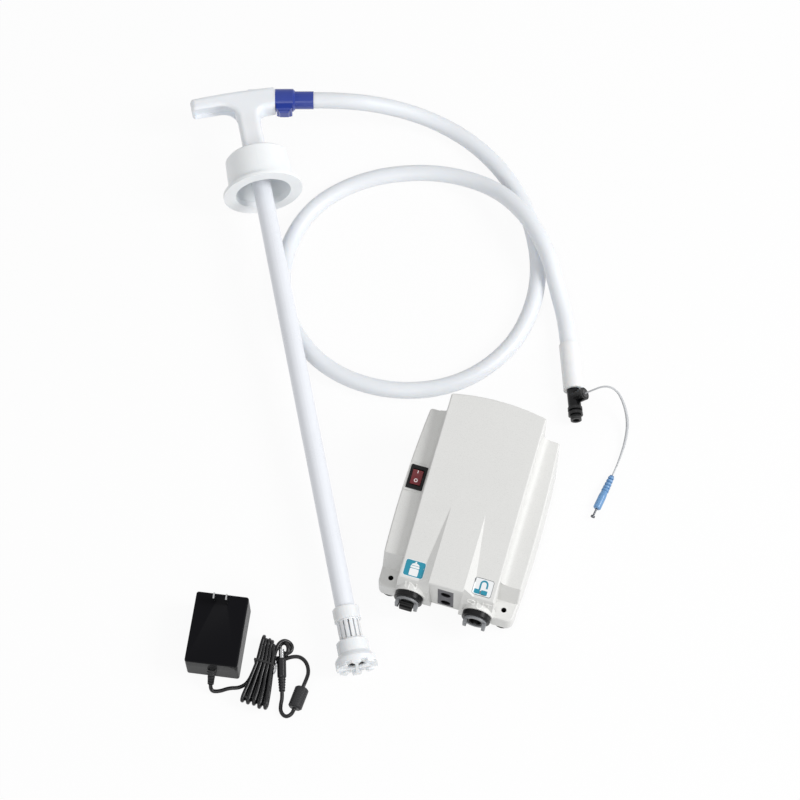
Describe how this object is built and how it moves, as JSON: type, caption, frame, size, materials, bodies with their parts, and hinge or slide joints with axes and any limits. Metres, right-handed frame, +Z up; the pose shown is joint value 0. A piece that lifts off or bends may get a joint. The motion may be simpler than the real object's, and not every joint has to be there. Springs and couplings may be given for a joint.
{
  "type": "bottled water pump system",
  "caption": "Bottled water pump in a sloping case, with suction wand and capped handle, coiled hose, float lead and wall adapter.",
  "frame": {"origin": "on the floor plane, midway between the pump case's two front screw holes", "axes": "+X to the pump's right towards its OUT port, +Y to its rear, +Z up"},
  "size_m": [0.5614, 0.717, 0.1058],
  "materials": {
    "case_grey": "moulded, fine texture",
    "pan_grey": "moulded",
    "foot_rubber": "matte",
    "zinc_steel": "zinc plated",
    "port_black": "semi-gloss",
    "seal_rubber": "matte",
    "clip_grey": "moulded",
    "plug_black": "moulded",
    "jack_black": "moulded",
    "switch_black": "semi-gloss",
    "rocker_red": "semi-gloss",
    "pump_black": "glass-filled moulding",
    "valve_white": "moulded",
    "valve_rubber": "matte",
    "motor_steel": "satin enamel",
    "shaft_steel": "ground",
    "cam_metal": "machined",
    "tube_soft": "flexible, satin",
    "board_green": "satin lacquer",
    "wand_white": "moulded, satin",
    "tube_white": "extruded, satin",
    "cap_white": "soft moulding, satin",
    "foot_white": "moulded",
    "coupling_blue": "semi-gloss",
    "hose_grey": "flexible, satin",
    "sleeve_white": "flexible, satin",
    "tee_black": "moulded",
    "gland_black": "moulded",
    "lead_grey": "satin sheath",
    "float_plug_blue": "moulded, satin",
    "pin_chrome": "nickel plated",
    "adapter_black": "moulded, fine texture",
    "cord_black": "satin sheath",
    "tie_black": "twisted tie"
  },
  "bodies": {
    "pump": {"top_cover": "case_grey", "base_pan": "pan_grey", "cover_screws": "zinc_steel", "rubber_feet": "foot_rubber", "in_port_socket": "port_black", "out_port_socket": "port_black", "port_seals": "seal_rubber", "jack_panel": "jack_black", "switch_housing": "switch_black", "pump_head": "pump_black", "valve_plate": "valve_white", "check_valves": "valve_rubber", "diaphragm": "valve_rubber", "pump_lower_housing": "pump_black", "pump_head_screws": "zinc_steel", "wobble_plate": "valve_white", "cam_bearing": "shaft_steel", "motor_end_cap": "motor_steel", "motor_can": "motor_steel", "isolator_mounts": "foot_rubber", "inlet_tube": "tube_soft", "outlet_tube": "tube_soft", "pressure_switch": "plug_black", "control_board": "board_green"},
    "in_clip": {"in_port_clip": "clip_grey"},
    "out_clip": {"out_port_clip": "clip_grey"},
    "port_plug": {"in_port_plug": "plug_black"},
    "rocker": {"rocker_button": "rocker_red"},
    "rotor": {"eccentric_cam": "cam_metal", "motor_shaft": "shaft_steel"},
    "wand": {"wand_handle": "wand_white", "suction_tube": "tube_white", "handle_coupling": "coupling_blue", "hose_insert": "coupling_blue", "foot_collar": "foot_white", "float_cage": "foot_white", "foot_base": "foot_white", "suction_hose": "hose_grey", "hose_sleeve": "sleeve_white", "tee_fitting": "tee_black", "tee_seal": "seal_rubber", "lead_gland": "gland_black", "float_lead": "lead_grey", "float_plug": "float_plug_blue", "float_plug_pin": "pin_chrome"},
    "cap": {"bottle_cap": "cap_white"},
    "latch": {"coupling_latch": "coupling_blue"},
    "float": {"float_ring": "foot_white"},
    "poppet": {"foot_valve": "valve_rubber"},
    "adapter": {"adapter_case": "adapter_black", "adapter_lid": "adapter_black", "adapter_blades": "pin_chrome", "adapter_relief": "adapter_black", "adapter_lead": "cord_black", "cord_hank": "cord_black", "hank_tie": "tie_black", "plug_lead": "cord_black", "ferrite_bead": "cord_black", "dc_plug": "cord_black", "dc_plug_barrel": "pin_chrome"}
  },
  "joints": [
    {"name": "rocker_tilt", "type": "hinge", "parent": "pump", "child": "rocker", "pos_m": [-0.0607, 0.09437, 0.07155], "axis": [-1, 0, 0], "range_deg": [0, 16]},
    {"name": "in_clip_slide", "type": "slide", "parent": "pump", "child": "in_clip", "axis": [0, -1, 0], "range_m": [0, 0.004]},
    {"name": "out_clip_slide", "type": "slide", "parent": "pump", "child": "out_clip", "axis": [0, -1, 0], "range_m": [0, 0.004]},
    {"name": "port_plug_pull", "type": "slide", "parent": "pump", "child": "port_plug", "axis": [0, -1, 0], "range_m": [0, 0.03]},
    {"name": "motor_spin", "type": "hinge", "parent": "pump", "child": "rotor", "pos_m": [0, 0.104, 0.037], "axis": [0, 1, 0], "continuous": true},
    {"name": "wand_lift", "type": "slide", "parent": "pump", "child": "wand", "axis": [0, 0, 1], "range_m": [0, 0.25]},
    {"name": "adapter_lift", "type": "slide", "parent": "pump", "child": "adapter", "axis": [0, 0, 1], "range_m": [0, 0.2]},
    {"name": "cap_slide", "type": "slide", "parent": "wand", "child": "cap", "axis": [0.4737, -0.8798, -0.0406], "range_m": [0, 0.015]},
    {"name": "float_rise", "type": "slide", "parent": "wand", "child": "float", "axis": [-0.4737, 0.8798, 0.0406], "range_m": [0, 0.0075]},
    {"name": "foot_valve_lift", "type": "slide", "parent": "wand", "child": "poppet", "axis": [-0.4737, 0.8798, 0.0406], "range_m": [0, 0.003], "stiffness_N_per_m": 40, "springref_m": -0.002},
    {"name": "latch_press", "type": "slide", "parent": "wand", "child": "latch", "axis": [-0.297, 0.954, 0.0398], "range_m": [0, 0.002], "stiffness_N_per_m": 800, "springref_m": -0.002}
  ]
}
